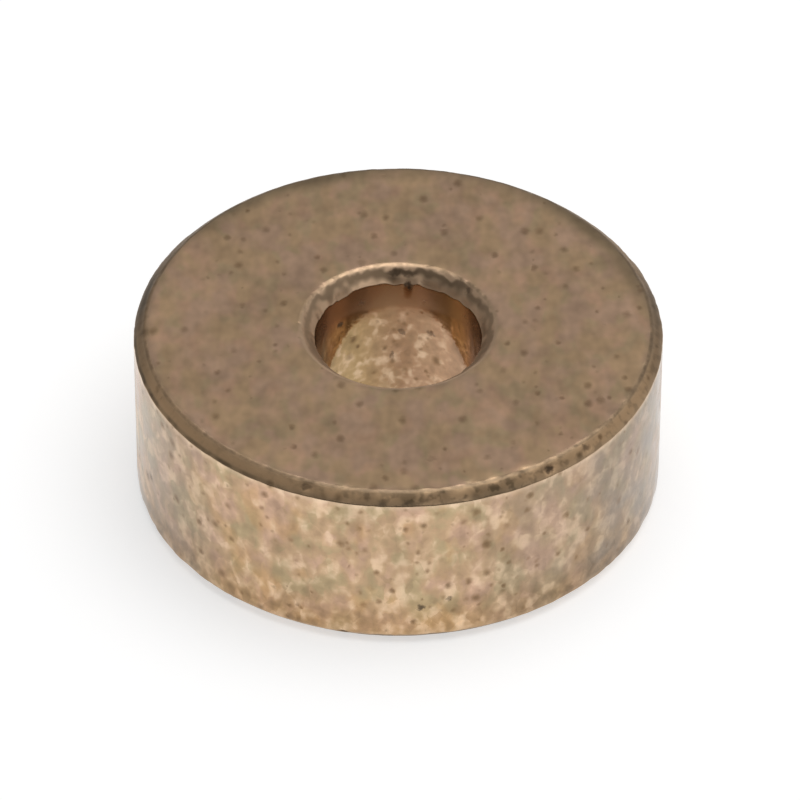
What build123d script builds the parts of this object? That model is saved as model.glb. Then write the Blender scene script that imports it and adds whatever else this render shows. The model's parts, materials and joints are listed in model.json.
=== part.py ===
from build123d import *
import os

# Sintered bronze bushing: one thick-walled ring, pressed, sintered and sized in a die as one piece.
#
# It is a plain cylinder with a through bore. Both ends of the outer wall have a 45-degree break, so
# that the ring starts squarely into its housing, and both ends of the bore have a slightly larger
# 45-degree lead-in for the shaft. The corner where a flat face meets its chamfer is rounded by
# tumbling, and the corner where a chamfer meets a die-sized wall stays sharper.
#
# The ring stands on its lower face. Z is the axis of the bore, and the origin is the middle of the
# lower face. Sizes are in millimetres.

# Driving dimensions
outer_diameter = 19.0  # press fit in the housing
bore_diameter = 6.0  # running fit on the shaft
length = 6.8  # from face to face
outer_chamfer = 0.4  # break on both ends of the outer wall
bore_chamfer = 0.5  # lead-in on both ends of the bore
face_edge_radius = 0.12  # tumbled corner between a face and its chamfer
wall_edge_radius = 0.04  # sharper corner between a chamfer and a die-sized wall

# The wall of the ring, on one side of the axis
bore_radius = bore_diameter / 2
wall_thickness = (outer_diameter - bore_diameter) / 2

with BuildPart() as bushing:
    with BuildSketch(Plane.XZ) as section:
        with Locations((bore_radius, 0)):
            Rectangle(wall_thickness, length, align=(Align.MIN, Align.MIN))

        # The rectangle has two corners on the bore and two on the outer wall
        bore_corners, outer_corners = section.vertices().group_by(Axis.X)
        chamfer(bore_corners, length=bore_chamfer)
        chamfer(outer_corners, length=outer_chamfer)

        # Each chamfer leaves one corner on its wall and one on its face
        bore_ends, lead_in_mouths, break_tops, outer_ends = section.vertices().group_by(Axis.X)
        fillet(lead_in_mouths + break_tops, radius=face_edge_radius)
        fillet(bore_ends + outer_ends, radius=wall_edge_radius)
    revolve(axis=Axis.Z)

bushing.part.label = "bushing"

os.makedirs("parts", exist_ok=True)
export_step(bushing.part, "parts/bushing.step")
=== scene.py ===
# %% [markdown]
# # A sintered bronze bushing
#
# This lesson dresses one plain bearing ring. Bronze powder is pressed into a ring, sintered until the
# grains weld, filled with oil and graphite, and sized once more in a die. Nothing is machined, so all
# the character is in the skin: faint die streaks on the wall, dark pores, rounded and slightly chipped
# corners. The solid model gives the exact sizes, so it is loaded first, and everything is measured
# from it. Blender works in metres here.

# %% Load the solid model
import json
import bpy
import numpy as np
from mathutils import Matrix, Vector


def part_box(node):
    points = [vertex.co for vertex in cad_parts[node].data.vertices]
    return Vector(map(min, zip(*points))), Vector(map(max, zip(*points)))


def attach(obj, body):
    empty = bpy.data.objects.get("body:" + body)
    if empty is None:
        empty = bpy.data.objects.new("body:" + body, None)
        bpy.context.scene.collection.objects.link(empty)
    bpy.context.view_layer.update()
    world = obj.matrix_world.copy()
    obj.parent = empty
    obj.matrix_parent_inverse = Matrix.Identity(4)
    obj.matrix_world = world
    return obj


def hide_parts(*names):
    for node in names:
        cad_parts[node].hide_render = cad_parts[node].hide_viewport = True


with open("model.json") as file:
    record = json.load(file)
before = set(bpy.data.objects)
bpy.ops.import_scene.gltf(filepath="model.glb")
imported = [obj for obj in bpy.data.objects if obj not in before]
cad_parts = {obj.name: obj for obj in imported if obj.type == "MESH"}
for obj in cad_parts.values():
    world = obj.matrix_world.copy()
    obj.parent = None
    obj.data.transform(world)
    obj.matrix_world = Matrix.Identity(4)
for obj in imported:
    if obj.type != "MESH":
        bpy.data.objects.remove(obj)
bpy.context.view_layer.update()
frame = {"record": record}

# %% [markdown]
# ## Sizes
#
# The ring stands on the floor with its axis on Z, so its height comes from the solid's box, and both
# radii come from the mounts that the record states for it. Only the chamfers are typed in. The skin
# differs from the solid most at the corners: tumbling left them rounder in one place than in another.

# %% Measure the ring
MM = 0.001
outer_chamfer = 0.4 * MM
lead_in = 0.5 * MM

mounts = {mount["name"]: mount for mount in frame["record"]["mounts"]}
outer_radius = mounts["outer_wall"]["dims"]["r_mm"] * MM
bore_radius = mounts["bore"]["dims"]["r_mm"] * MM
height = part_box("bushing")[1][2]
print(f"radii {outer_radius / MM:.2f} and {bore_radius / MM:.2f} mm, height {height / MM:.2f} mm")

# %% [markdown]
# ## Camera
#
# A ring like this is best shown with a long lens from well above, so that its ellipses stay nearly
# parallel. The camera looks along +Y and down by about 40 degrees. It is built from its own three
# axes, because a matrix of right, up and back is easier to trust than three angles.

# %% Place the camera
frame_pixels = 800
focal_pixels = 6802.0
camera_distance = 246.0 * MM
camera_elevation = np.radians(40.09)
camera_roll = 0.0034
look_at = Vector((0.07 * MM, 0.0, 3.28 * MM))

forward = Vector((0, np.cos(camera_elevation), -np.sin(camera_elevation)))
level_right = Vector((1, 0, 0))
level_up = level_right.cross(forward)
right = np.cos(camera_roll) * level_right + np.sin(camera_roll) * level_up
up = np.cos(camera_roll) * level_up - np.sin(camera_roll) * level_right

camera_data = bpy.data.cameras.new("camera")
camera_data.sensor_width = 36.0
camera_data.lens = camera_data.sensor_width * focal_pixels / frame_pixels
camera_data.clip_start = 0.01
camera = bpy.data.objects.new("camera", camera_data)
camera.matrix_world = Matrix.Translation(look_at - camera_distance * forward) @ Matrix(
    (right, up, -forward)).transposed().to_4x4()
bpy.context.collection.objects.link(camera)
bpy.context.scene.camera = camera
print(f"lens {camera_data.lens:.0f} mm, {camera_distance / MM:.0f} mm from the ring")

# %% [markdown]
# ## Node trees written as sums
#
# Wiring nodes by hand is slow to read back, so a small class wraps one output socket and gives it
# the usual operators: `1 - mask` adds a Math node, and a colour times a number adds a Vector Math
# node. Every other node comes from one method, which sets the node's settings first and then fills
# or links its sockets.

# %% A socket that can be added and multiplied
class Tone:
    """One output socket: a number, a colour or a vector that varies over a surface."""

    def __init__(self, tree, socket=None):
        self.tree = tree
        self.socket = socket

    def node(self, kind, settings=None, sockets=None):
        """Adds a node: settings such as operation come first, then a value or a link for each socket."""
        made = self.tree.nodes.new(kind)
        for name, value in (settings or {}).items():
            setattr(made, name, value)
        for name, value in (sockets or {}).items():
            entry = made.inputs[name]
            if isinstance(value, Tone):
                self.tree.links.new(value.socket, entry)
            else:
                entry.default_value = value
        return made

    def out(self, made, name=0):
        """Wraps one output of a node."""
        return Tone(self.tree, made.outputs[name])

    def is_number(self):
        return self.socket.type == "VALUE"

    def maths(self, operation, *terms):
        """A Math node on numbers, or a Vector Math node as soon as one term is a colour or vector."""
        numbers = all(not isinstance(term, (tuple, list)) and (not isinstance(term, Tone) or term.is_number())
                      for term in terms)
        if numbers:
            made = self.node("ShaderNodeMath", {"operation": operation}, dict(enumerate(terms)))
        else:
            spread = [(term,) * 3 if isinstance(term, (int, float)) else term for term in terms]
            made = self.node("ShaderNodeVectorMath", {"operation": operation}, dict(enumerate(spread)))
        return self.out(made)

    def __add__(self, other):
        return self.maths("ADD", self, other)

    def __sub__(self, other):
        return self.maths("SUBTRACT", self, other)

    def __mul__(self, other):
        return self.maths("MULTIPLY", self, other)

    def __truediv__(self, other):
        return self.maths("DIVIDE", self, other)

    def __rsub__(self, other):
        return self.maths("SUBTRACT", other, self)

    __radd__ = __add__
    __rmul__ = __mul__

    def length(self):
        """The length of a vector."""
        return self.out(self.node("ShaderNodeVectorMath", {"operation": "LENGTH"}, {0: self}), "Value")

    def between(self, low, high):
        """0 at low, 1 at high, a smooth step in between. low may be the larger of the two."""
        made = self.node("ShaderNodeMapRange", {"interpolation_type": "SMOOTHSTEP"},
                         {"Value": self, "From Min": low, "From Max": high})
        return self.out(made)

    def blend(self, first, second, share):
        """The first colour where share is 0 and the second where it is 1."""
        made = self.node("ShaderNodeMix", {"data_type": "RGBA"}, {"Factor": share})
        for value, entry in ((first, made.inputs[6]), (second, made.inputs[7])):
            if isinstance(value, Tone):
                self.tree.links.new(value.socket, entry)
            else:
                entry.default_value = (*value, 1.0)
        return self.out(made, 2)

    def mixed(self, other, share):
        """This colour, turned into the other one where share is 1."""
        return self.blend(self, other, share)


def new_material(name):
    """An empty material. Returns it, a Tone to write on, and its output node."""
    material = bpy.data.materials.new(name)
    material.use_nodes = True
    material.node_tree.nodes.clear()
    desk = Tone(material.node_tree)
    output = desk.node("ShaderNodeOutputMaterial")
    return material, desk, output


print("node helper ready")

# %% [markdown]
# ## The studio
#
# Half-polished metal is nothing but reflections, so the studio is half of the material. Three things
# matter, and the white table is the first: it lights up the wall of the ring and the far side of the
# bore. It is a matt white, lit to just under white, and lifted to white for what is seen directly or
# in a reflection, so it keeps the ring's soft shadow. Its colour and its lift are painted dimmer
# further out, a painted pool of light, and that dim horizon is what darkens the chamfers at the sides.

# %% Table
table_half = 3.0
table_colour = 0.62
table_lift = 0.58
table_far = 0.3
lit_to = 0.06
dim_from = 0.20

table_mesh = bpy.data.meshes.new("table")
table_corners = [(x * table_half, y * table_half, 0.0) for x, y in ((-1, -1), (1, -1), (1, 1), (-1, 1))]
table_mesh.from_pydata(table_corners, [], [(0, 1, 2, 3)])
table = bpy.data.objects.new("table", table_mesh)
bpy.context.collection.objects.link(table)

table_white, desk, output = new_material("table_white")
path = desk.node("ShaderNodeLightPath")
seen = (desk.out(path, "Is Camera Ray") + desk.out(path, "Is Glossy Ray")
        + desk.out(path, "Is Transmission Ray"))
table_place = desk.out(desk.node("ShaderNodeTexCoord"), "Object")
# Painted pool of light: the table's colour and lift fall off away from the ring.
painted_light_pool = table_far + (1.0 - table_far) * table_place.length().between(dim_from, lit_to)
matt = desk.node("ShaderNodeBsdfDiffuse", {}, {"Color": painted_light_pool * (table_colour, table_colour, table_colour)})
lift = desk.node("ShaderNodeEmission", {}, {
    "Color": (1.0, 1.0, 1.0, 1.0), "Strength": seen * painted_light_pool * table_lift})
both = desk.node("ShaderNodeAddShader", {}, {0: desk.out(matt), 1: desk.out(lift)})
desk.tree.links.new(both.outputs[0], output.inputs["Surface"])
table_mesh.materials.append(table_white)
print(f"table {2 * table_half:.0f} m wide, fully lit to {lit_to / MM:.0f} mm from the axis")

# %% [markdown]
# The second is a round softbox high overhead and a little to the right. It draws the fine bright line
# on each rounded corner and shines down the bore. A wide, plain lamp is chosen over a small, strong
# one, so that the upper face still shows its own colour when it mirrors the lamp. Its power follows
# from how bright its surface should look: power = brightness times pi times area.

# %% Softbox
softbox_height = 4.0
softbox_half_angle = np.radians(30.0)
softbox_lean = np.radians(13.0)
softbox_brightness = 2.0

softbox_data = bpy.data.lights.new("softbox", "AREA")
softbox_data.shape = "DISK"
softbox_data.size = 2 * softbox_height * np.tan(softbox_half_angle)
softbox_area = np.pi * (softbox_data.size / 2) ** 2
softbox_data.energy = softbox_brightness * np.pi * softbox_area
softbox = bpy.data.objects.new("softbox", softbox_data)
softbox.location = (softbox_height * np.tan(softbox_lean), 0.0, softbox_height)
bpy.context.collection.objects.link(softbox)
print(f"softbox {softbox_data.size:.2f} m across, {softbox_data.energy:.0f} W")

# %% [markdown]
# The third is the room, which the upper face and the chamfers show. It stays dim. It is brighter at
# both sides, more so on the right, and behind the ring. A sum over the direction of view is enough:
# plain + right times x + sides times x squared + back times y.

# %% Room
room_plain = 0.205
room_back = 0.165
room_right = 0.08
room_sides = 0.18

world = bpy.data.worlds.new("room")
world.use_nodes = True
world.node_tree.nodes.clear()
desk = Tone(world.node_tree)
output = desk.node("ShaderNodeOutputWorld")
axes = desk.node("ShaderNodeSeparateXYZ", {}, {0: desk.out(desk.node("ShaderNodeTexCoord"), "Generated")})
sideways = desk.out(axes, "X")
room = room_plain + room_right * sideways + room_sides * sideways * sideways + room_back * desk.out(axes, "Y")
backdrop = desk.node("ShaderNodeBackground", {}, {"Color": (1.0, 1.0, 1.0, 1.0), "Strength": room})
desk.tree.links.new(backdrop.outputs[0], output.inputs["Surface"])
bpy.context.scene.world = world
bpy.context.scene.view_settings.view_transform = "Standard"
print(f"room {room_plain:.3f} overhead, {room_plain + room_right + room_sides:.3f} on the right")

# %% [markdown]
# ## The section
#
# A die makes a ring, so the honest way to build one is to draw half of its section and carry it round
# the axis. The section is an octagon: wall, break, upper face, lead-in, bore, lead-in, lower face,
# break. Each of its eight corners is an arc whose normal turns by 45 degrees, so one formula serves
# all of them, and the normal's angle also says which zone of the ring a point belongs to.

# %% A function for the section
def section_of_ring(corners, radii, arc_steps, run_steps):
    """The section as points of radius and height, and the angle of the outward normal at each.

    Corner k turns the normal from 45k to 45(k + 1) degrees. Its arc's centre lies inside the corner,
    by radius / cos(22.5 degrees), along the middle of that turn. Straight runs join the arcs, and
    their points crowd towards both ends by half a cosine, because the fine work is at the corners.
    """
    places, normals = [], []
    for k, (corner, radius) in enumerate(zip(corners, radii)):
        middle = np.radians(45 * k + 22.5)
        out_of_corner = np.array([np.cos(middle), np.sin(middle)])
        centre = np.array(corner) - radius / np.cos(np.radians(22.5)) * out_of_corner
        turn = np.radians(np.linspace(45 * k, 45 * (k + 1), arc_steps))
        places.append(centre + radius * np.stack([np.cos(turn), np.sin(turn)], axis=1))
        normals.append(turn)
    points, turns = [], []
    for k, steps in enumerate(run_steps):
        start, end = places[k][-1], places[(k + 1) % 8][0]
        share = 0.5 - 0.5 * np.cos(np.pi * np.linspace(0, 1, steps + 2)[1:-1, None])
        points += [places[k], start + share * (end - start)]
        turns += [normals[k], np.full(steps, normals[k][-1])]
    return np.concatenate(points), np.concatenate(turns)


print("section function ready")

# %% [markdown]
# The corners are listed from the wall's upper end, over the top, down the bore and back along the
# bottom. Those on the faces are the roundest, because tumbling wears them most. Each corner is
# followed by its run, in this order: break, upper face, lead-in, bore, lead-in, lower face, break,
# wall.

# %% Draw the section
wall_corner = 0.09 * MM
bore_corner = 0.05 * MM
break_corner = 0.24 * MM
mouth_corner = 0.26 * MM
section_corners = [
    (outer_radius, height - outer_chamfer),
    (outer_radius - outer_chamfer, height),
    (bore_radius + lead_in, height),
    (bore_radius, height - lead_in),
    (bore_radius, lead_in),
    (bore_radius + lead_in, 0.0),
    (outer_radius - outer_chamfer, 0.0),
    (outer_radius, outer_chamfer),
]
corner_radii = [wall_corner, break_corner, mouth_corner, bore_corner,
                bore_corner, mouth_corner, break_corner, wall_corner]
section, section_turn = section_of_ring(
    section_corners, corner_radii, arc_steps=6, run_steps=[7, 32, 11, 16, 7, 16, 7, 28])
print(f"section: {len(section)} points")

# %% [markdown]
# ## The skin
#
# The section is carried round in 576 steps, about one for each tenth of a millimetre of the wall. The
# result is a grid of points and, beside it, a grid of outward directions.

# %% Carry the section round
around = 576
angle = np.linspace(0, 2 * np.pi, around, endpoint=False)
grid_radius, grid_angle = np.meshgrid(section[:, 0], angle, indexing="ij")
grid_turn = np.repeat(section_turn[:, None], around, axis=1)
skin = np.stack([grid_radius * np.cos(grid_angle), grid_radius * np.sin(grid_angle),
                 np.repeat(section[:, 1:2], around, axis=1)], axis=-1)
outward = np.stack([np.cos(grid_turn) * np.cos(grid_angle), np.cos(grid_turn) * np.sin(grid_angle),
                    np.sin(grid_turn)], axis=-1)
print(f"skin: {skin.shape[0]} by {skin.shape[1]} points")

# %% [markdown]
# A perfect lathe form would look like plastic, so the skin is moved inwards a little, never outwards,
# which keeps it inside the die's sizes. The movement is a sum of plane waves that run through space in
# random directions. Reading them at the points of the skin has two merits: they meet themselves after
# a full turn, and they have no poles. Two masks say where the skin moves: one follows the normal, and
# one the distance to a corner of the section.

# %% Waves and masks for the skin
def waves(points, length, seed, count=60):
    """A smooth random field of about -2 to 2: the sum of plane waves of about that length.

    Each wave is cos(direction . point + phase), and the sum is divided by the root of half the count.
    """
    draw = np.random.default_rng(seed)
    directions = draw.normal(size=(count, 3))
    directions /= np.linalg.norm(directions, axis=1, keepdims=True)
    numbers = 2 * np.pi / (length * draw.uniform(0.7, 1.5, size=(count, 1)))
    phases = draw.uniform(0, 2 * np.pi, size=count)
    return np.cos(points @ (directions * numbers).T + phases).sum(axis=-1) / np.sqrt(count / 2)


def tent(turn, *centres):
    """1 where the normal points at one of the centres, in degrees, and 0 from 45 degrees away."""
    away = [np.abs((np.degrees(turn) - centre + 180) % 360 - 180) for centre in centres]
    return np.clip(1 - np.min(away, axis=0) / 45, 0, 1)


def corner_nearness(numbers, reach):
    """1 at the numbered corners of the section, falling to 0 along exp(-(distance / reach)^2)."""
    corners = np.array([section_corners[k] for k in numbers])
    gaps = np.linalg.norm(section[:, None, :] - corners[None], axis=2)
    return np.exp(-(gaps / reach) ** 2).max(axis=1)


corner_reach = 0.16 * MM
breaks = corner_nearness((0, 1, 6, 7), corner_reach)
mouths = corner_nearness((2, 5), corner_reach)
bore_edges = corner_nearness((3, 4), corner_reach)
print("section points near a worn corner:", int((np.maximum(breaks, mouths) > 0.5).sum()))

# %% [markdown]
# ## Chips
#
# The whole skin is slightly uneven, least of all in the bore, which a polished core rod formed. A
# corner of pressed powder crumbles, so the corners are worn and lose small flakes. The flakes come
# from the same waves, of which only what rises above a threshold counts. Where the lead-in meets the
# bore, the edge itself is ragged: its points slide into the bore by different amounts.

# %% Wear the corners
ripple_depth = 0.0012 * MM
ripple_length = 1.6 * MM
ripple_fine = 0.7 * MM
bore_polish = 0.85
flake_depth = 0.008 * MM
flake_length = 0.34 * MM
flake_threshold = 0.7
worn_depth = 0.010 * MM
worn_length = 1.1 * MM
worn_fine = 0.5 * MM
ragged_drop = 0.045 * MM
ragged_length = 0.8 * MM
ragged_fine = 0.35 * MM

ripple = 3 + waves(skin, ripple_length, 1) + 0.6 * waves(skin, ripple_fine, 2)
ripple = ripple_depth * np.clip(ripple, 0, None) * (1 - bore_polish * tent(grid_turn, 180))
flakes = np.clip(waves(skin, flake_length, 3) - flake_threshold, 0, 1.4)
worn = np.clip(1 + 0.6 * waves(skin, worn_length, 8) + 0.35 * waves(skin, worn_fine, 9), 0, None)
depth = ripple + (breaks + mouths)[:, None] * (flake_depth * flakes + worn_depth * worn)

edge_row = int(np.argmin(np.linalg.norm(section - np.array(section_corners[3]), axis=1)))
edge_line = skin[edge_row]
ragged = 0.8 + waves(edge_line, ragged_length, 4) + 0.4 * waves(edge_line, ragged_fine, 5)
drop = ragged_drop * bore_edges[:, None] * np.clip(ragged, 0, 2.4)[None]
print(f"deepest wear {depth.max() / MM:.3f} mm, deepest step in the bore's edge {drop.max() / MM:.3f} mm")

# %% [markdown]
# ## Nicks and single marks
#
# A few marks are listed one by one, as a maker would remember them from one ring. Each lies at an angle
# round the ring, where 0 degrees is on the right and -90 degrees faces the camera. One list serves
# twice: here a mark's depth cuts a small bowl into the skin, and later its darkness stains the bronze.

# %% Take the marks out of the skin
def ring_place(degrees, radius_mm, z_mm):
    """A point in mm, given by its angle round the ring, its radius and its height."""
    turn = np.radians(degrees)
    return np.array([radius_mm * np.cos(turn), radius_mm * np.sin(turn), z_mm])


def bowl(points, centre, half_width, long):
    """1 at the centre and 0 from half_width away: (1 - distance squared)^2, distance in half widths.

    Along the ring, across the radius of the centre, the bowl is longer by the factor long.
    """
    along = np.array([-centre[1], centre[0], 0.0]) / np.hypot(centre[0], centre[1])
    offset = points - centre
    slide = offset @ along
    reach = ((offset ** 2).sum(axis=-1) - (1 - 1 / long ** 2) * slide ** 2) / half_width ** 2
    return np.clip(1 - reach, 0, 1) ** 2


# Angle in degrees, radius and height in mm; half width, length against width, depth in mm, darkness.
marks = {
    "nick in the lower edge": (-101.9, 9.45, 0.25, 0.24, 1.2, 0.10, 0.9),
    "pit in the break, right": (-55.2, 9.3, 6.59, 0.19, 1.3, 0.05, 1.0),
    "pit in the break, left": (-110.2, 9.25, 6.66, 0.18, 1.5, 0.04, 0.7),
    "pit in the break, far right": (-44.5, 9.3, 6.59, 0.18, 1.5, 0.03, 0.6),
    "notch under the lead-in": (83.4, 3.0, 6.17, 0.22, 0.9, 0.07, 1.0),
    "oily patch, back": (85.0, 3.26, 6.57, 0.19, 3.2, 0.01, 0.7),
    "its darker end": (92.5, 3.27, 6.58, 0.19, 1.8, 0.01, 0.9),
    "spot in the lead-in, right": (40.8, 3.34, 6.65, 0.18, 1.3, 0.02, 0.6),
    "long dent in the face": (-80.8, 7.47, 6.8, 0.24, 1.2, 0.0, 0.45),
    "smear on the face, right": (-34.8, 6.98, 6.8, 0.16, 2.2, 0.0, 0.25),
    "smear on the face, far right": (-29.1, 8.19, 6.8, 0.16, 2.2, 0.0, 0.3),
    "dark spot in the bore, left": (134.8, 3.0, 5.03, 0.20, 0.9, 0.01, 0.8),
    "small spot in the bore": (116.1, 3.0, 5.6, 0.16, 1.0, 0.0, 0.4),
    "pore in the bore, middle": (87.5, 3.0, 4.04, 0.19, 1.0, 0.01, 0.5),
    "pore in the bore, right": (66.7, 3.0, 4.15, 0.20, 1.1, 0.01, 0.5),
    "slit in the bore": (94.4, 3.0, 2.91, 0.22, 0.6, 0.01, 0.5),
    "pore low in the wall": (-85.0, 9.5, 1.66, 0.17, 1.0, 0.02, 0.9),
    "pore beside it": (-78.7, 9.5, 1.96, 0.15, 1.0, 0.02, 0.7),
}
mark_depth = np.zeros(skin.shape[:2])
for *where, half_width, long, deep, _ in marks.values():
    mark_depth += deep * MM * bowl(skin / MM, ring_place(*where), half_width, long)
skin_final = skin - outward * (depth + mark_depth)[..., None]
skin_final[..., 2] -= drop * np.sign(skin[..., 2] - height / 2)
print(f"marks: {len(marks)}, deepest {mark_depth.max() / MM:.3f} mm")

# %% [markdown]
# ## The mesh
#
# The grid of points becomes faces by arithmetic on row and column numbers: each face takes a point,
# its neighbour round the ring, and the two beside them on the next row of the section. Both
# directions close on themselves, so the ring has no seam.

# %% Build the ring
def closed_grid(name, points):
    """A mesh from a grid of points that closes in both directions, with faces turned outwards."""
    rows, columns = points.shape[:2]
    number = np.arange(rows * columns).reshape(rows, columns)
    beside = np.roll(number, -1, axis=1)
    quads = np.stack([number, beside, np.roll(beside, -1, axis=0), np.roll(number, -1, axis=0)], axis=-1)
    mesh = bpy.data.meshes.new(name)
    mesh.vertices.add(rows * columns)
    mesh.vertices.foreach_set("co", points.reshape(-1).astype(np.float32))
    mesh.loops.add(quads.size)
    mesh.loops.foreach_set("vertex_index", quads.reshape(-1).astype(np.int32))
    mesh.polygons.add(rows * columns)
    mesh.polygons.foreach_set("loop_start", np.arange(0, quads.size, 4, dtype=np.int32))
    mesh.polygons.foreach_set("use_smooth", np.ones(rows * columns, dtype=bool))
    mesh.update(calc_edges=True)
    mesh.validate()
    return mesh


ring_mesh = closed_grid("bronze_ring", skin_final)
ring = bpy.data.objects.new("bronze_ring", ring_mesh)
bpy.context.collection.objects.link(ring)
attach(ring, "root")
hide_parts("bushing")
print(f"ring: {2 * len(ring_mesh.polygons)} triangles")

# %% [markdown]
# What the bronze needs to know about a point is stored with the point as an attribute: how far it
# belongs to each zone, how near it is to a worn corner, and how deep it lies in a lead-in, from 0 at
# the face to 1 at the bore.

# %% Store the zones
def store(mesh, name, grid):
    """Stores one number for each point of the grid."""
    layer = mesh.attributes.new(name, "FLOAT", "POINT")
    layer.data.foreach_set("value", grid.reshape(-1).astype(np.float32))


mouth_wear = 0.4
zones = {
    "wall": tent(grid_turn, 0),
    "face": tent(grid_turn, 90, 270),
    "bore": tent(grid_turn, 180),
    "lead_in": tent(grid_turn, 135, 225),
    "break": tent(grid_turn, 45, 315),
    "lead_depth": np.clip((height / 2 - np.abs(skin[..., 2] - height / 2)) / lead_in, 0, 1),
    "corner": np.repeat(np.maximum(breaks, mouth_wear * mouths)[:, None], around, axis=1),
}
for name, grid in zones.items():
    store(ring_mesh, name, grid)
print("attributes:", ", ".join(zones))

# %% [markdown]
# ## Sintered bronze
#
# The real finish has several layers. The metal varies from grain to grain in lightness and hue. Pores
# filled with graphite and oil are dark and matt. Sizing in the die drags the wall's skin along the
# axis, which leaves faint streaks. The faces are duller than the wall, because the punches only press
# them. An unwrapped picture would need a seam, so every pattern is read from Object coordinates, in
# millimetres, and its scale is a real size.

# %% Patterns in millimetres
bronze, desk, output = new_material("sintered_bronze")
place = desk.out(desk.node("ShaderNodeTexCoord"), "Object") * (1 / MM)


def noise(where, length, detail, rough, shift, channel=0):
    """Smooth noise of about 0.3 to 0.7, with lumps of about that length in mm.

    The shift moves the pattern in space, so that no two are alike. Channel 1 gives three numbers.
    """
    made = desk.node("ShaderNodeTexNoise", {"noise_dimensions": "3D"}, {
        "Vector": where + (shift, shift, shift), "Scale": 1 / length, "Detail": detail, "Roughness": rough})
    return desk.out(made, channel)


def cells(where, length, shift):
    """Cells of about that length in mm, like packed grains.

    Returns the distance from the cell's middle, in lengths, and three random numbers for the cell.
    """
    made = desk.node("ShaderNodeTexVoronoi", {"voronoi_dimensions": "3D", "feature": "F1"},
                     {"Vector": where + (shift, shift, shift), "Scale": 1 / length})
    parts = desk.node("ShaderNodeSeparateColor", {}, {0: desk.out(made, "Color")})
    return desk.out(made, "Distance"), [desk.out(parts, channel) for channel in range(3)]


crumple_width = 0.14
fraying = 2.5
crumple = (noise(place, 0.22, 2.0, 0.5, 0.0, channel=1) - 0.5) * crumple_width
uneven = place + crumple
frayed = place + crumple * fraying
print("pattern helpers ready")

# %% [markdown]
# ## Where on the ring
#
# A layer is stronger in one zone or on one side. The zones come back from the attributes. A side is
# measured by how far a point lies towards it, which is a cosine on the outer wall: 0.94 is 20 degrees
# away from that side, and 0.5 is 60 degrees away. The far side of the bore looks polished down to
# about 5 mm. Below that it shows the wall's grain, and both together are called grained.

# %% Zones and sides
across = desk.node("ShaderNodeSeparateXYZ", {}, {0: place})
rise = desk.out(across, "Z")
top = height / MM


def stored(name):
    """An attribute of the ring."""
    return desk.out(desk.node("ShaderNodeAttribute", {"attribute_name": name}), "Fac")


def towards(degrees):
    """How far a point lies towards one side of the ring: 1 on the rim there, -1 on the opposite rim."""
    turn = np.radians(degrees)
    share = MM / outer_radius
    return (desk.out(across, "X") * float(share * np.cos(turn))
            + desk.out(across, "Y") * float(share * np.sin(turn)))


wall, face, bore = stored("wall"), stored("face"), stored("bore")
lead, broken, lead_depth = stored("lead_in"), stored("break"), stored("lead_depth")
corner = stored("corner")
off_axis = (place * (1.0, 1.0, 0.0)).length()
edge_on = desk.maths("ABSOLUTE", towards(0.0))
far_side = towards(90.0).between(-0.12, 0.05)
grained = wall + bore * far_side * rise.between(5.4, 4.6)
print("zones ready:", len(bronze.node_tree.nodes), "nodes so far")

# %% [markdown]
# ## Lumps, clouds and streaks
#
# Powder metal shows several sizes of unevenness at once: grains of a third of a millimetre, welded
# lumps of half a millimetre, and clouds of two or three. One noise can't give them all, so each is a
# pattern of its own. The space most of them are read from is squeezed in Y and Z first, which draws
# the lumps out from front to back and along the axis.

# %% Mix the patterns
drawn = place * (1.0, 0.6, 0.7)
rounder = place * (1.0, 0.75, 1.0)
sheet = place * (1.0, 0.65, 1.0)
along_axis = place * (1.0, 1.0, 0.12)

grain = cells(uneven * (1.0, 0.75, 0.65), 0.34, 3.0)[1]
lump = noise(drawn, 0.5, 1.0, 0.5, 9.0).between(0.32, 0.68)
crumb = noise(rounder, 0.36, 1.0, 0.5, 61.0).between(0.34, 0.66)
wide_lump = noise(drawn, 0.8, 1.0, 0.5, 51.0).between(0.32, 0.68)
small = noise(place, 0.24, 1.0, 0.5, 41.0).between(0.3, 0.7)
fleck = noise(place, 0.34, 2.0, 0.5, 71.0)
cloud = noise(place, 2.4, 2.0, 0.5, 7.0)
broad = noise(drawn, 0.95, 2.0, 0.4, 13.0)
streak = noise(along_axis, 0.45, 2.0, 0.5, 21.0)

mottle = 0.4 * lump + 0.2 * grain[0] + 0.12 * small + 0.28 * wide_lump
mottle = mottle + bore * 0.3 * (crumb - mottle)
print("patterns mixed:", len(bronze.node_tree.nodes), "nodes so far")

# %% [markdown]
# ## Wall and bore
#
# Clean bronze is brown with pink and olive patches, and it turns amber in oily patches. Low on the
# wall the amber is a painted reflection of warm light bounced between ring and table. The wall turns
# greyer and darker at three places round it. The bore is a deeper brown, and the grained part of its
# far side turns yellow on the left and peach on the right.

# %% Colour the wall and the bore
bronze_plain = (0.535, 0.365, 0.222)
bronze_pink = (0.595, 0.39, 0.275)
bronze_olive = (0.455, 0.355, 0.205)
bronze_amber = (0.60, 0.37, 0.175)
patch_grey = (0.29, 0.232, 0.18)
bore_brown = (0.375, 0.226, 0.127)
bore_yellow = (0.64, 0.47, 0.215)
bore_peach = (0.64, 0.41, 0.26)

tone = desk.blend(bronze_plain, bore_brown, bore)
hue = broad + 0.10 * (grain[1] - 0.5)
tone = tone.mixed(bronze_pink, hue.between(0.50, 0.66) * (0.85 * wall + 0.15 * bore * far_side))
tone = tone.mixed(bronze_olive, hue.between(0.50, 0.36) * (0.8 * wall + 0.15 * bore * far_side))
oily = noise(drawn, 1.3, 2.0, 0.4, 29.0).between(0.52, 0.66)
# Amber for oily patches, plus painted bounce light low on the wall.
oil_and_painted_bounce = wall * (0.7 * oily + 0.9 * rise.between(2.8, 0.4))
tone = tone.mixed(bronze_amber, oil_and_painted_bounce.between(0.0, 1.3) * 0.8)

# The wall turns greyer and darker at three places round it.
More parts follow.
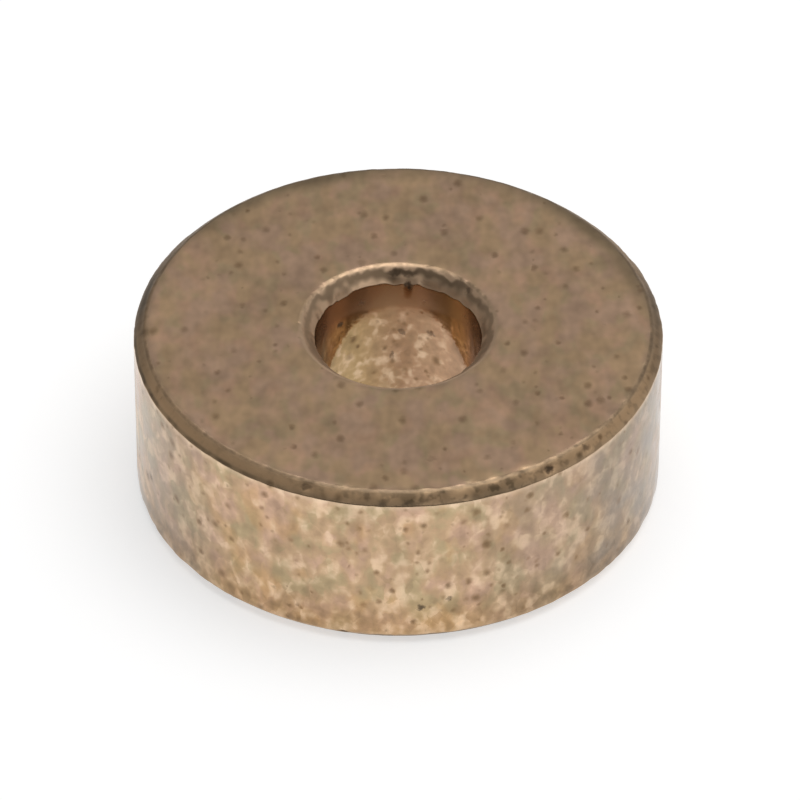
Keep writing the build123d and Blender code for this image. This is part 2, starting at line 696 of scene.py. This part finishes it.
grey_patches = 1.15 * towards(-19.0).between(0.86, 1.0) + 0.6 * towards(-53.0).between(0.92, 1.0)
grey_patches = grey_patches + 0.7 * towards(-150.0).between(0.93, 0.995)
grey_patches = wall * grey_patches * (1.0 + 1.6 * (cloud - 0.5) + 0.5 * (wide_lump - 0.5))
tone = tone.mixed(patch_grey, grey_patches * 0.62)
tone = tone.mixed(bore_yellow, bore * grained * towards(180.0).between(-0.02, 0.2) * 0.5)
tone = tone.mixed(bore_peach, bore * grained * towards(0.0).between(-0.02, 0.2) * 0.55)
print("wall and bore coloured:", len(bronze.node_tree.nodes), "nodes so far")

# %% [markdown]
# ## Worn grains and shade
#
# High grains are rubbed pale. The band just under the upper break is painted pale too, as a painted
# highlight of the rounded corner above it. Then one number, around 1, carries what is left of light
# and dark: mottling and clouds, die streaks that show best from the front, painted shade low on the
# wall, and painted shade in bands where the bore turns away at both sides.

# %% Rub the grains and shade the wall
bronze_pale = (0.70, 0.525, 0.365)

worn_grains = mottle.between(0.5, 0.85) * grained * (1.0 - 0.5 * grey_patches)
# Painted highlight: the band just under the upper break is made pale.
painted_highlight_band = wall * rise.between(top - 0.65, top - 0.40)
tone = tone.mixed(bronze_pale, (worn_grains + painted_highlight_band) * 0.5)

die_streaks = wall * 0.35 * towards(-90.0).between(0.3, 0.9) * (streak - 0.5)
mottle_and_painted_shade = 1.0 + grained * (0.6 * (mottle - 0.5) + 0.4 * (cloud - 0.5)) + die_streaks
# Painted shade low on the wall, where it mirrors the ring's shadow on the table.
mottle_and_painted_shade = mottle_and_painted_shade * (1.0 - wall * rise.between(2.5, 0.4) * (0.21 - 0.5 * (mottle - 0.5)))
mottle_and_painted_shade = mottle_and_painted_shade * (1.0 - 0.04 * wall * towards(-36.0).between(0.8, 1.0))
# Painted shade: dark bands where the bore turns away at both sides.
mottle_and_painted_shade = mottle_and_painted_shade * (1.0 - 0.5 * bore * edge_on.between(0.262, 0.292))
tone = tone * mottle_and_painted_shade
print("wall and bore shaded:", len(bronze.node_tree.nodes), "nodes so far")

# %% [markdown]
# ## Faces
#
# The punches leave the faces browner and more even than the wall. Two wide patterns tint them: pink
# against olive, and sand against mauve. The tints are weak, because strong ones look like camouflage.
# Along the back, the outer rim of the face is painted darker and more olive, as painted shade of the
# rounded corner beyond it.

# %% Colour the faces
face_brown = (0.577, 0.386, 0.243)
face_pink = (0.600, 0.384, 0.25)
face_olive = (0.535, 0.384, 0.23)
face_sand = (0.577, 0.391, 0.231)
face_mauve = (0.575, 0.382, 0.258)
break_brown = (0.53, 0.355, 0.205)

tint = noise(sheet, 0.8, 2.0, 0.4, 37.0)
veil = noise(sheet, 1.0, 2.0, 0.4, 57.0)
dapple = noise(sheet, 0.42, 1.0, 0.5, 47.0)
# Painted shade along the back of the face's outer rim.
painted_rim_shade = towards(120.0).between(0.80, 0.96) + towards(30.0).between(0.80, 0.96)
painted_rim_shade = off_axis.between(8.1, 8.9) * (painted_rim_shade + 0.5 * towards(75.0).between(0.6, 0.8))

plate = desk.blend(face_brown, face_pink, tint.between(0.50, 0.64))
plate = plate.mixed(face_olive, tint.between(0.50, 0.36))
plate = plate.mixed(face_sand, veil.between(0.50, 0.64)).mixed(face_mauve, veil.between(0.50, 0.36))
plate = plate.mixed(face_olive, painted_rim_shade) * (1.0 - 0.33 * painted_rim_shade)
plate = plate * (1.0 + 0.5 * (cloud - 0.5) + 0.5 * (dapple - 0.5) + 0.2 * (tint - 0.5))
tone = tone.mixed(plate, face).mixed(break_brown, broken)
print("faces coloured:", len(bronze.node_tree.nodes), "nodes so far")

# %% [markdown]
# ## Pores
#
# A pore is a dark core with a brown halo of oil round it. Cells are the way to scatter them, because
# each cell can hold one pore at most. There are two sizes: large ones in most cells, and medium ones
# that crowd together on the wall. Where the bore is polished, only the cores are left.

# %% Scatter the pores
stain_brown = (0.19, 0.11, 0.05)
large_cell = 0.72
medium_cell = 0.42


def pits(where, length, share, size, shift):
    """1 in the middle of a pit and 0 at its rim.

    That share of the cells of that length holds a pit, and its radius is 0.45 to 1 times size times
    the length.
    """
    distance, random = cells(where, length, shift)
    radius = size * (0.45 + 0.55 * random[1])
    held = desk.maths("LESS_THAN", random[0], share)
    return held * (1.0 - distance / radius)


pore_space = uneven * (1.0, 0.75, 0.9)
crowd = noise(place, 1.3, 2.0, 0.5, 31.0).between(0.3, 0.7)
large = pits(pore_space, large_cell, 0.7 + 0.1 * wall + 0.2 * bore, 0.37, 11.0)
medium_share = 0.15 + 0.6 * wall * crowd + 0.4 * bore + 0.6 * broken
medium = pits(pore_space, medium_cell, medium_share, 0.40, 17.0)
pit = desk.maths("MAXIMUM", large, medium * 0.65)
halo = pit.between(0.0, 0.75) * (1.0 - bore * (1.0 - far_side * rise.between(5.4, 4.8)))
core = pit.between(0.5, 0.95)
tone = tone.mixed(stain_brown, halo * (0.66 - 0.18 * face))
print("pores scattered:", len(bronze.node_tree.nodes), "nodes so far")

# %% [markdown]
# The single marks of the list are stained with a Mapping node each. As a texture mapping it turns the
# space with the ring and divides it by the mark's size, so that the rim of every mark lies at 1. The
# space is frayed, which keeps a mark from looking like a printed dot.

# %% Stain the single marks
def stain(degrees, radius_mm, z_mm, half_width, long):
    """1 in the middle of one mark and 0 at its frayed rim, in a frame turned with the ring."""
    local = desk.node("ShaderNodeMapping", {"vector_type": "TEXTURE"}, {
        "Vector": frayed,
        "Location": [float(part) for part in ring_place(degrees, radius_mm, z_mm)],
        "Rotation": (0.0, 0.0, float(np.radians(degrees))),
        "Scale": (half_width, half_width * long, half_width)})
    return desk.out(local).length().between(1.0, 0.35)


pores = core * 0.2
for *where, half_width, long, _, dark in marks.values():
    pores = desk.maths("MAXIMUM", pores, stain(*where, half_width, long) * dark * 0.85)
print("marks stained:", len(bronze.node_tree.nodes), "nodes so far")

# %% [markdown]
# ## The break
#
# The break between wall and upper face catches dirt: in front it has soft blotches and specks. Two
# lighter patches on it, in front and at the front left, are painted light. On the left it is darker
# along its lower edge, and at the sides and the back it is darker all over. Its shoulder, where it
# rolls over into the face, mirrors the softbox as a fine line, which soot dims.

# %% Colour the break and its shoulder
soot = (0.11, 0.075, 0.042)

low_edge = rise.between(top - 0.26, top - 0.35) * towards(-150.0).between(0.78, 0.95)
low_edge = low_edge * (0.3 + 0.5 * lump)
blotches = (0.12 + 0.4 * (0.6 * broad + 0.4 * lump).between(0.25, 0.75)) * towards(-80.0).between(0.72, 0.97)
blotches = blotches + 0.3 * towards(-80.0).between(0.93, 0.985)
specks = fleck.between(0.52, 0.34) * (0.25 * towards(-60.0).between(0.45, 0.9) + 0.1)
# Darker at the sides and the back of the break.
side_and_back_darkening = towards(90.0).between(-0.15, 0.3) * 0.45 + edge_on.between(0.90, 0.98) * 0.5
side_and_back_darkening = side_and_back_darkening + 0.3 * towards(155.0).between(0.85, 0.98)
tone = tone.mixed(soot, broken * (low_edge + blotches + side_and_back_darkening + specks))
# Painted light: two lighter patches on the break, in front and at the front left.
painted_light_on_break = 0.1 * towards(-130.0).between(0.82, 0.96) + 0.26 * towards(-82.0).between(0.75, 0.97)
tone = tone * (1.0 + broken * painted_light_on_break)

shoulder = 4.0 * face * broken
worn_line = 0.32 + 0.5 * (0.5 * lump + 0.5 * small) - 0.1 * towards(-155.0).between(0.6, 0.85)
tone = tone.mixed(soot, shoulder * worn_line)
print("break coloured:", len(bronze.node_tree.nodes), "nodes so far")

# %% [markdown]
# ## Lead-in and worn corners
#
# The lead-in is scraped bright by the shafts that were pushed in, with soot left between two uneven
# lines, most of it at the back. Its mouth, where it rolls over into the face, is sooty behind, and in
# front it is painted pale as a painted highlight. Every worn corner is a little paler. Last, the front
# of the shoulder is dulled except for some glints, so that its bright line is broken up.

# %% Colour the lead-in and the worn corners
scraped = (0.69, 0.485, 0.32)
dulled = (0.12, 0.087, 0.057)

settled = place * (1.0, 0.75, 0.65)
soot_lump = noise(settled, 0.46, 1.0, 0.5, 9.0).between(0.32, 0.68)
soot_drift = noise(settled, 0.95, 2.0, 0.4, 13.0)
reached = lead_depth + 0.25 * (soot_lump - 0.5) + 0.6 * (soot_drift - 0.5)
sooty = lead.between(0.6, 1.0) * reached.between(0.12, 0.34) * reached.between(0.85, 0.45)
tone = tone.mixed(scraped, lead).mixed(soot, sooty * (0.38 + 1.15 * towards(88.0)))

mouth_line = 4.0 * face * lead
painted_mouth_highlight = mouth_line * towards(-90.0).between(0.05, 0.25)
tone = tone.mixed(soot, mouth_line * (0.05 + 0.4 * small) * towards(90.0).between(0.0, 0.2))
# Painted highlight: the front of the mouth is made pale. Worn corners are a little paler.
tone = tone.mixed(bronze_pale, corner * 0.15 + painted_mouth_highlight * 0.4)
glint = 0.6 * fleck.between(0.40, 0.62) + 0.4 * lump
tone = tone.mixed(dulled, shoulder * towards(-80.0).between(0.55, 0.92) * (0.5 - 0.4 * glint))
print("lead-in coloured:", len(bronze.node_tree.nodes), "nodes so far")

# %% [markdown]
# ## Finish
#
# The bore was burnished by its core rod, so it is the smoothest, and the chamfers are the roughest.
# Pores are graphite, not metal, so they come last in the colour, and they lower Metallic and raise
# Roughness too. The same patterns feed a bump of a few thousandths of a millimetre. A bump from the
# colour's own patterns is worth more than a separate one: a pale grain is also a high one.

# %% Finish the bronze
graphite = (0.085, 0.056, 0.032)
relief_height = 0.006 * MM

tone = tone.mixed(graphite, pores)
metallic = 1.0 - 0.4 * pores
roughness = 0.22 + 0.18 * face - 0.12 * bore + 0.28 * lead + 0.36 * broken - 0.12 * corner
roughness = roughness + 0.1 * (lump - 0.5) * grained + 0.4 * pores + 0.22 * painted_mouth_highlight
roughness = roughness + 0.25 * shoulder * towards(-155.0).between(0.55, 0.82)
roughness = roughness + 0.16 * bore * rise.between(5.1, 5.4)

relief = (0.4 * lump + 0.1 * grain[0] + 0.12 * small) * (grained + 0.4 * broken) + 0.2 * face * dapple
relief = relief + 0.15 * wall * streak - 0.5 * halo - 0.3 * core
bumps = desk.node("ShaderNodeBump", {}, {"Strength": 1.0, "Distance": relief_height, "Height": relief})

metal = desk.node("ShaderNodeBsdfPrincipled", {}, {
    "Base Color": tone, "Roughness": roughness, "Metallic": metallic, "Normal": desk.out(bumps)})
desk.tree.links.new(metal.outputs[0], output.inputs["Surface"])
ring_mesh.materials.append(bronze)
print("bronze mixed:", len(bronze.node_tree.nodes), "nodes")
